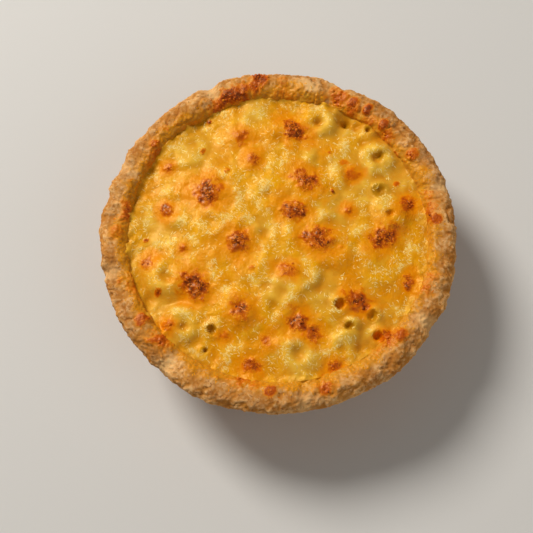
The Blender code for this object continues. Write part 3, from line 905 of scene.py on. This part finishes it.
# %% The case as one closed mesh
x = np.clip(radius * np.cos(angle), cad_low.x, cad_high.x)
y = np.clip(radius * np.sin(angle), cad_low.y, cad_high.y)
points = np.stack((x, y, height), axis=-1).reshape(-1, 3)
last_row = (len(section) - 1) * CASE_SEGMENTS
faces = strip_faces(len(section), CASE_SEGMENTS).tolist()
faces += fan_faces(len(points), 0, CASE_SEGMENTS, inward=True).tolist()
faces += fan_faces(len(points) + 1, last_row, CASE_SEGMENTS).tolist()
baked_pastry = mesh_object("baked_pastry", [*points, (0, 0, 0), (0, 0, FLOOR)], faces)
crown = np.exp(-((across - 0.50) / 0.22) ** 2) * on_rim
crease = np.clip(rim_fold(angle + 0.25 * rough * (across - 0.5)) / 0.0022, 0, 1)
crease *= np.exp(-((across - 0.45) / 0.30) ** 2) * on_rim
crease = np.maximum(crease, floury_lumps)
for name, field in (("toast", toasted_rim), ("glaze", glaze), ("crack_shade", cracks),
                    ("crown", crown), ("crease", crease), ("ridge", ridge), ("melt", melt)):
    add_attribute(baked_pastry, name, np.concatenate((field.ravel(), (0, 0))))
print("pastry triangles:", 2 * len(faces) - 2 * CASE_SEGMENTS)

# %% [markdown]
# ## Grated cheese that fell on the rim
# Some of the cheese landed on the rim's inner slope and baked there. These strands have the
# same form. Each is a short walk over the grid of the pastry's own points, so that it lies
# on the dough wherever the dough goes.

# %% Strands on the rim
RIM_STRAND_COUNT = 1700
grid = points.reshape(len(section), CASE_SEGMENTS, 3)
row_step = 0.00055  # about one station of the inner slope, in metres
column_step = math.tau * CROWN_RADIUS / CASE_SEGMENTS


def read_grid(field, row, column):
    """A value of the pastry's grid between its points."""
    low, left = row.astype(int), np.floor(column).astype(int)
    up, right = row - low, column - left
    if field.ndim == 3:
        up, right = up[..., None], right[..., None]
    first, second = left % CASE_SEGMENTS, (left + 1) % CASE_SEGMENTS
    below = field[low, first] * (1 - right) + field[low, second] * right
    above = field[low + 1, first] * (1 - right) + field[low + 1, second] * right
    return below * (1 - up) + above * up


tries = 20 * RIM_STRAND_COUNT
row = before_rim + (RIM_STEPS - 1) * rng.uniform(0.60, 0.94, tries)
column = rng.uniform(0, CASE_SEGMENTS, tries)
kept = np.flatnonzero(rng.random(tries) < 0.9 * read_grid(glaze, row, column) ** 2)
kept = kept[:RIM_STRAND_COUNT]
row, column = row[kept][:, None], column[kept][:, None]
heading = rng.uniform(0, math.tau, (len(kept), 1))
length = rng.uniform(0.0010, 0.0026, (len(kept), 1))
turns = heading + rng.normal(0, 1.0, (len(kept), 1)) * from_middle
rows = row + (np.cumsum(np.cos(turns), axis=1) / STRAND_STEPS - 0.5) * length / row_step
columns = column + np.cumsum(np.sin(turns), axis=1) / STRAND_STEPS * length / column_step
outward = np.stack((face_out * np.cos(angle), face_out * np.sin(angle), face_up), axis=-1)
rim_strands, _ = strands_along("rim_strands", read_grid(grid, rows, columns),
                               read_grid(outward, rows, columns),
                               rng.uniform(0.00020, 0.00036, (len(kept), 1)))
for name, field in (("toast", toasted_rim), ("glow", glaze * 0.5), ("gold", glaze)):
    add_attribute(rim_strands, name,
                  np.repeat(read_grid(field, row, column), STRAND_SIZE, axis=1))

# %% [markdown]
# ## Crisp crumbs on everything that browned
# Toasted cheese breaks into a crust of tiny grains. Each crumb is a dented ball, half sunk
# into the patch. Scattering real grains gives the sparkle and the dark gaps that a bump
# texture cannot.

# %% Choose where crumbs lie
CRUMB_COUNT = 230
RIM_CRUMB_COUNT = 150
CRUMB_RINGS = 5
CRUMB_SIDES = 7
x, y = scattered(60 * CRUMB_COUNT)
kept = np.flatnonzero(0.25 + 0.75 * rng.random(len(x)) < read_map(toast, x, y))[:CRUMB_COUNT]
x, y = x[kept], y[kept]
places = np.column_stack((x, y, read_map(cheese_top, x, y)))
browned_points = rng.choice(np.flatnonzero(toasted_rim.ravel() > 0.5), RIM_CRUMB_COUNT)
places = np.concatenate((places, points[browned_points]))
crumb_toast = np.concatenate((read_map(toast, x, y), toasted_rim.ravel()[browned_points]))
count = len(places)

# %% Scatter the crumbs
tilt = math.pi * np.repeat(np.arange(1, CRUMB_RINGS) / CRUMB_RINGS, CRUMB_SIDES)
turn = np.tile(np.linspace(0, math.tau, CRUMB_SIDES, endpoint=False), CRUMB_RINGS - 1)
ball = np.column_stack((np.sin(tilt) * np.cos(turn), np.sin(tilt) * np.sin(turn), np.cos(tilt)))
ball = np.concatenate((ball, ((0, 0, 1), (0, 0, -1))))
size = rng.uniform(0.00030, 0.00080, (count, 1, 1)) * rng.uniform(0.75, 1.3, (count, 1, 3))
dents = rng.uniform(0.80, 1.15, (count, len(ball), 1))
sunk_by = 0.35 * size[..., 2:] * (0, 0, 1)
points = (places[:, None] - sunk_by + ball * size * dents).reshape(-1, 3)
points[:, 2] = below_ceiling(points[:, 2])
first_pole = (CRUMB_RINGS - 1) * CRUMB_SIDES
pattern = [strip_faces(CRUMB_RINGS - 1, CRUMB_SIDES)[:, ::-1],
           fan_faces(first_pole, 0, CRUMB_SIDES),
           fan_faces(first_pole + 1, first_pole - CRUMB_SIDES, CRUMB_SIDES, inward=True)]
toasted_crumbs = mesh_object("toasted_crumbs", points, copies(pattern, count, len(ball)))
shade = np.clip(0.72 * crumb_toast[:, None] + rng.normal(0, 0.22, (count, 1)), 0.1, 1)
add_attribute(toasted_crumbs, "toast", np.repeat(shade, len(ball), axis=1))
print("crumbs:", count, "triangles:", count * 2 * CRUMB_SIDES * (CRUMB_RINGS - 1))

# %% [markdown]
# ## Finishes
# Two effects are used by more than one material, so each is a node group. `speckle` gives an
# even mottling and a height for bumps. `browning` turns a plain colour through orange and
# red-brown to nearly black as its mask rises, because toast on cheese and on pastry goes
# through the same colours.

# %% Helpers for node trees
def new_group(name, inputs, outputs):
    """A shader group with its sockets. Each socket is a name, a type and a start value."""
    group = bpy.data.node_groups.new(name, "ShaderNodeTree")
    for label, kind, value in inputs:
        socket = group.interface.new_socket(label, in_out="INPUT", socket_type=kind)
        socket.default_value = value
    for label, kind in outputs:
        group.interface.new_socket(label, in_out="OUTPUT", socket_type=kind)
    return group, group.nodes.new("NodeGroupInput").outputs, group.nodes.new("NodeGroupOutput")


def new_material(name, **sockets):
    """A material and its Principled BSDF, with constant values on the shader's own sockets."""
    material = bpy.data.materials.new(name)
    material.use_nodes = True
    shader = material.node_tree.nodes["Principled BSDF"]
    for label, value in sockets.items():
        shader.inputs[label.replace("_", " ")].default_value = value
    return material, shader, material.node_tree


def set_inputs(tree, made, inputs):
    """Links sockets and sets plain values into a node's inputs, by number or name."""
    for label, source in inputs.items():
        if hasattr(source, "is_output"):
            tree.links.new(source, made.inputs[label])
        else:
            made.inputs[label].default_value = source


def node(tree, kind, inputs, **settings):
    """Adds a node with its settings and inputs."""
    made = tree.nodes.new(kind)
    for label, value in settings.items():
        setattr(made, label, value)
    set_inputs(tree, made, inputs)
    return made.outputs


def mix(tree, factor, first, second):
    """A colour between two colours or sockets."""
    return node(tree, "ShaderNodeMix", {0: factor, 6: first, 7: second}, data_type="RGBA")[2]


def maths(tree, operation, first, second=0.0, clamp=False):
    """One step of arithmetic on values."""
    return node(tree, "ShaderNodeMath", {0: first, 1: second}, operation=operation, use_clamp=clamp)[0]


def product(tree, first, second):
    """Two values multiplied, which for masks is where both hold."""
    return maths(tree, "MULTIPLY", first, second)


def lay_over(tree, colour, over, mask, share):
    """Lays a second colour over the first where a mask says so, up to a share of it."""
    return mix(tree, product(tree, mask, share), colour, over)


def opposite(tree, mask):
    """A mask that is 0 where this one is 1, and 1 where it is 0."""
    return maths(tree, "SUBTRACT", 1.0, mask)


def remap(tree, value, low, high, new_low=0.0, new_high=1.0):
    """Stretches a value from one range to another, and stops at the ends."""
    return node(tree, "ShaderNodeMapRange", {0: value, 1: low, 2: high, 3: new_low, 4: new_high})[0]


def attribute(tree, name):
    """A number stored on the mesh."""
    return node(tree, "ShaderNodeAttribute", {}, attribute_name=name)["Fac"]


def use_group(tree, group, **inputs):
    """Puts a group into a material."""
    made = tree.nodes.new("ShaderNodeGroup")
    made.node_tree = group
    set_inputs(tree, made, inputs)
    return made.outputs


def add_bump(tree, shader, height, strength, distance):
    """Fine relief from a height, for light only."""
    inputs = {"Height": height, "Strength": strength, "Distance": distance}
    tree.links.new(node(tree, "ShaderNodeBump", inputs)["Normal"], shader.inputs["Normal"])


# %% The speckle group
speckle, given, result = new_group(
    "speckle",
    (("Size", "NodeSocketFloat", 0.002), ("Bend", "NodeSocketFloat", 0.0)),
    (("Mask", "NodeSocketFloat"), ("Height", "NodeSocketFloat")),
)
place = node(speckle, "ShaderNodeTexCoord", {})["Object"]
coarse = node(speckle, "ShaderNodeTexNoise",
              {"Vector": place, "Scale": maths(speckle, "DIVIDE", 1.0, given["Size"]),
               "Detail": 4.0, "Roughness": 0.6, "Distortion": given["Bend"]})[0]
set_inputs(speckle, result, {"Mask": remap(speckle, coarse, 0.36, 0.64), "Height": coarse})

# %% The browning group
TOAST_COLOURS = ((0.10, (0.84, 0.29, 0.001, 1)), (0.30, (0.76, 0.200, 0.001, 1)),
                 (0.50, (0.65, 0.140, 0.001, 1)), (0.70, (0.52, 0.088, 0.002, 1)),
                 (0.90, (0.34, 0.046, 0.002, 1)), (1.00, (0.17, 0.022, 0.002, 1)))
browning, given, result = new_group(
    "browning",
    (("Colour", "NodeSocketColor", (0.8, 0.4, 0.1, 1)), ("Toast", "NodeSocketFloat", 0.0),
     ("Glow", "NodeSocketFloat", 0.0), ("Unevenness", "NodeSocketFloat", 0.3),
     ("Onset", "NodeSocketFloat", 0.25)),
    (("Colour", "NodeSocketColor"), ("Toast", "NodeSocketFloat")),
)
place = node(browning, "ShaderNodeTexCoord", {})["Object"]
fine = node(browning, "ShaderNodeTexNoise",
            {"Vector": place, "Scale": 900.0, "Detail": 3.0, "Roughness": 0.6})[0]
uneven = product(browning, maths(browning, "SUBTRACT", fine, 0.5), given["Unevenness"])
uneven = product(browning, uneven, remap(browning, given["Toast"], 0.0, 0.25))
level = maths(browning, "ADD", given["Toast"], uneven, clamp=True)
glowing = mix(browning, given["Glow"], given["Colour"], (0.84, 0.265, 0.001, 1))
ramp = browning.nodes.new("ShaderNodeValToRGB")
ramp.color_ramp.elements.remove(ramp.color_ramp.elements[1])
for index, (position, colour) in enumerate(TOAST_COLOURS):
    stops = ramp.color_ramp.elements
    stop = stops[0] if index == 0 else stops.new(position)
    stop.position, stop.color = position, colour
set_inputs(browning, ramp, {"Fac": level})
onset = remap(browning, level, 0.03, given["Onset"])
browned = mix(browning, onset, glowing, ramp.outputs["Color"])
set_inputs(browning, result, {"Colour": browned, "Toast": level})

# %% Melted cheese
CHEESE_GOLD = (0.92, 0.415, 0.001, 1)
CHEESE_PALE = (0.82, 0.440, 0.035, 1)
CHEESE_SOFT = (0.90, 0.540, 0.060, 1)
CHEESE_PAINTED_SHADE = (0.60, 0.200, 0.001, 1)
CHEESE_AMBER = (0.88, 0.325, 0.001, 1)
# pale cream for unmelted strands, also used as painted highlight
CHEESE_CREAM_AND_GLINT = (0.98, 0.770, 0.290, 1)
EDGE_BROWN_AND_SHADE = (0.56, 0.210, 0.006, 1)
BORE_SHADE_OLIVE = (0.50, 0.225, 0.004, 1)
BORE_SHADE_BROWN = (0.34, 0.090, 0.003, 1)
OIL_GLOSS = (1.0, 0.70, 0.16, 1)  # light that comes back through oil is yellow
TOAST_GLOSS = (1.0, 0.60, 0.12, 1)
PASTRY_GLOSS = (1.0, 0.74, 0.34, 1)


def cheese_material(name, creamy_colour, creaminess, has_bores, **sockets):
    """Cheese with its zones, which turns to its creamy colour where its mask says so, partly as
    painted light.
    """
    material, shader, tree = new_material(
        name, Subsurface_Scale=0.0016, Subsurface_Radius=(1.0, 0.75, 0.35),
        Specular_Tint=OIL_GLOSS, Coat_Roughness=0.20, **sockets)
    small = use_group(tree, speckle, Size=0.0011, Bend=1.5)
    broad = use_group(tree, speckle, Size=0.012, Bend=0.4)
    crest_here = attribute(tree, "crest")
    colour = mix(tree, attribute(tree, "gold"), CHEESE_PALE, CHEESE_GOLD)
    colour = mix(tree, attribute(tree, "amber"), colour, CHEESE_AMBER)
    # painted shade: deeper orange where the cheese lies below its crests
    off_crest_shade = product(tree, opposite(tree, crest_here),
                     remap(tree, broad["Mask"], 0.0, 1.0, 0.5, 1.0))
    colour = lay_over(tree, colour, CHEESE_PAINTED_SHADE, off_crest_shade, 0.8)
    colour = lay_over(tree, colour, creamy_colour, attribute(tree, "cream_and_lit"), creaminess)
    colour = lay_over(tree, colour, EDGE_BROWN_AND_SHADE, attribute(tree, "edge"), 0.7)
    if has_bores:
        # painted glints: small pale dots on the crests
        crest_glints = product(tree, remap(tree, small["Mask"], 0.6, 1.0), crest_here)
        colour = lay_over(tree, colour, CHEESE_CREAM_AND_GLINT, crest_glints, 0.04)
        # painted shade in the hollows
        colour = lay_over(tree, colour, CHEESE_PAINTED_SHADE, attribute(tree, "hollow"), 0.50)
        # painted shade inside the bores, partly browning
        colour = mix(tree, attribute(tree, "mouth"), colour, BORE_SHADE_OLIVE)
        colour = mix(tree, attribute(tree, "bore_shade_and_toast"), colour, BORE_SHADE_BROWN)
    toasted = use_group(tree, browning, Colour=colour, Toast=attribute(tree, "toast"),
                        Glow=product(tree, attribute(tree, "glow"), 0.9), Unevenness=0.55)
    rough = remap(tree, toasted["Toast"], 0.2, 0.9, 0.28, 0.38)
    wet = remap(tree, toasted["Toast"], 0.2, 0.8, 0.04, 0.18)
    set_inputs(tree, shader, {"Base Color": toasted["Colour"], "Roughness": rough,
                              "Coat Weight": wet})
    add_bump(tree, shader, small["Height"], 0.5, 0.0004)
    return material


melted_cheese.data.materials.append(
    cheese_material("melted cheese", CHEESE_SOFT, creaminess=0.7, has_bores=True,
                    Subsurface_Weight=0.20, Specular_IOR_Level=0.36))
grated = cheese_material("grated cheese", CHEESE_CREAM_AND_GLINT, creaminess=1.0, has_bores=False,
                         Subsurface_Weight=0.0, Specular_IOR_Level=0.5)
cheese_strands.data.materials.append(grated)
rim_strands.data.materials.append(grated)

# %% Macaroni in sauce
material, shader, tree = new_material(
    "cooked macaroni", Roughness=0.30, Subsurface_Weight=0.25, Subsurface_Scale=0.003,
    Subsurface_Radius=(1.0, 0.6, 0.25), Specular_Tint=OIL_GLOSS)
mottle = use_group(tree, speckle, Size=0.004, Bend=0.3)
colour = mix(tree, mottle["Mask"], (0.80, 0.38, 0.030, 1), (0.88, 0.48, 0.060, 1))
set_inputs(tree, shader, {"Base Color": colour})
add_bump(tree, shader, mottle["Height"], 0.3, 0.0004)
macaroni.data.materials.append(material)

# %% Toasted crumbs
material, shader, tree = new_material("toasted crumbs", Specular_Tint=TOAST_GLOSS,
                                      Coat_Weight=0.3, Coat_Roughness=0.22)
mottle = use_group(tree, speckle, Size=0.0009, Bend=0.0)
toasted = use_group(tree, browning, Colour=(0.72, 0.26, 0.01, 1), Toast=attribute(tree, "toast"),
                    Glow=0.5, Unevenness=0.8)
gloss = remap(tree, mottle["Mask"], 0.0, 1.0, 0.34, 0.58)
set_inputs(tree, shader, {"Base Color": toasted["Colour"], "Roughness": gloss})
toasted_crumbs.data.materials.append(material)

# %% Baked pastry
PASTRY_LIGHT = (0.69, 0.308, 0.064, 1)
PASTRY_GOLDEN = (0.53, 0.186, 0.018, 1)
PASTRY_BROWN = (0.27, 0.080, 0.012, 1)
PASTRY_RAW = (0.90, 0.560, 0.230, 1)  # dough in a fold stays pale
PASTRY_CREAM = (0.92, 0.570, 0.250, 1)  # flour baked on to the ridges, and painted highlight on them
RIM_GLAZE = (0.62, 0.235, 0.008, 1)
material, shader, tree = new_material("baked pastry", Subsurface_Weight=0.06,
                                      Subsurface_Scale=0.0015, Specular_Tint=PASTRY_GLOSS)
patches = use_group(tree, speckle, Size=0.013, Bend=0.6)
sandy = use_group(tree, speckle, Size=0.0020, Bend=0.2)
colour = mix(tree, patches["Mask"], PASTRY_GOLDEN, PASTRY_LIGHT)
colour = lay_over(tree, colour, PASTRY_LIGHT, sandy["Mask"], 0.40)
# painted shade in the valleys of the dough
valley_shade = opposite(tree, attribute(tree, "ridge"))
colour = lay_over(tree, colour, PASTRY_GOLDEN, valley_shade, 0.65)
flour_and_ridge_light = product(tree, attribute(tree, "ridge"), sandy["Mask"])
colour = lay_over(tree, colour, PASTRY_CREAM, flour_and_ridge_light, 0.85)
place = node(tree, "ShaderNodeTexCoord", {})["Object"]
fleck = node(tree, "ShaderNodeTexNoise", {"Vector": place, "Scale": 650.0, "Detail": 1.0})[0]
colour = mix(tree, remap(tree, fleck, 0.62, 0.72, 0.0, 0.7), colour, PASTRY_BROWN)
browned_top = product(tree, attribute(tree, "crown"), opposite(tree, patches["Mask"]))
glaze_here = attribute(tree, "glaze")
# the cracks are painted dark, as painted shade in them
for over, mask, share in (
        (PASTRY_BROWN, browned_top, 0.55), (PASTRY_BROWN, attribute(tree, "crack_shade"), 0.60),
        (PASTRY_RAW, attribute(tree, "crease"), 0.65),
        (RIM_GLAZE, glaze_here, 0.92),
        (CHEESE_PALE, attribute(tree, "melt"), 0.85)):
    colour = lay_over(tree, colour, over, mask, share)
toasted = use_group(tree, browning, Colour=colour, Toast=attribute(tree, "toast"), Glow=0.0,
                    Unevenness=0.9, Onset=0.60)
dry = remap(tree, glaze_here, 0.1, 0.9, 0.80, 0.38)
set_inputs(tree, shader, {"Base Color": toasted["Colour"], "Roughness": dry})
add_bump(tree, shader, sandy["Height"], 0.8, 0.0006)
baked_pastry.data.materials.append(material)

# %% [markdown]
# ## Tie the pieces to the frame
# Every piece rides on the pie's one body, and the frame's solid that it stands for is hidden.

# %% Ride and replace
for piece, node_name, slot_name in (
        (baked_pastry, "pastry_case", "pastry"), (macaroni, "macaroni_cheese", "macaroni_cheese"),
        (melted_cheese, "macaroni_cheese", "macaroni_cheese"),
        (rim_strands, "pastry_case", "macaroni_cheese"),
        (cheese_strands, "macaroni_cheese", "macaroni_cheese"),
        (toasted_crumbs, "macaroni_cheese", "macaroni_cheese")):
    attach(piece, "root")
    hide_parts(node_name)

# %% [markdown]
# ## Studio
# A pale sheet of card, one soft window-like light from behind on the left, and a weak fill.
# The light stands low enough to let the ridges throw small shadows.

# %% Floor, lights and world
FLOOR_HALF = 3.0
LIGHT_AIM = (0, 0, 0.04)
LIGHTS = (  # name, place, size across, power in watts, and colour
    ("window", (-1.12, 0.98, 1.44), 0.78, 42.0, (1.0, 0.96, 0.90)),
    ("fill", (0.9, -0.5, 0.9), 1.2, 3.0, (1.0, 0.97, 0.92)),
)
ROOM_COLOUR = (1.0, 0.96, 0.90, 1)
ROOM_STRENGTH = 0.16
corners = FLOOR_HALF * np.array(((-1, -1, 0), (1, -1, 0), (1, 1, 0), (-1, 1, 0)))
floor = mesh_object("studio_floor", corners, [(0, 1, 2, 3)])
material, shader, tree = new_material("pale card", Base_Color=(0.66, 0.65, 0.63, 1), Roughness=0.8)
floor.data.materials.append(material)


for name, place, size, power, colour in LIGHTS:
    data = bpy.data.lights.new(name, "AREA")
    data.shape, data.size, data.energy, data.color = "DISK", size, power, colour
    lamp = bpy.data.objects.new(name, data)
    lamp.location = place
    lamp.rotation_euler = (Vector(LIGHT_AIM) - Vector(place)).to_track_quat("-Z", "Y").to_euler()
    bpy.context.scene.collection.objects.link(lamp)
world = bpy.data.worlds.new("studio")
world.use_nodes = True
room = world.node_tree.nodes["Background"]
room.inputs["Color"].default_value = ROOM_COLOUR
room.inputs["Strength"].default_value = ROOM_STRENGTH
bpy.context.scene.world = world
bpy.context.scene.view_settings.view_transform = "Standard"

# %% [markdown]
# ## Camera
# The camera looks steeply down from the front, as somebody who is about to cut the pie
# would. A long lens from half a metre keeps the round rim nearly round.

# %% Camera
CAMERA_PLACE = Vector((0.0218, -0.1639, 0.4947))
CAMERA_FORWARD = Vector((-0.05538, 0.30874, -0.94953))
CAMERA_UP = Vector((-0.06385, 0.94795, 0.31195))
CAMERA_LENS, SENSOR_WIDTH = 60.7, 36.0  # in millimetres, as Blender counts them
camera_data = bpy.data.cameras.new("camera")
camera_data.lens = CAMERA_LENS
camera_data.sensor_width = SENSOR_WIDTH
camera = bpy.data.objects.new("camera", camera_data)
back = -CAMERA_FORWARD.normalized()
right = CAMERA_UP.cross(back).normalized()
turned = Matrix((right, back.cross(right), back)).transposed()
camera.matrix_world = Matrix.Translation(CAMERA_PLACE) @ turned.to_4x4()
bpy.context.scene.collection.objects.link(camera)
bpy.context.scene.camera = camera
print("camera height, mm:", round(1000 * CAMERA_PLACE.z))
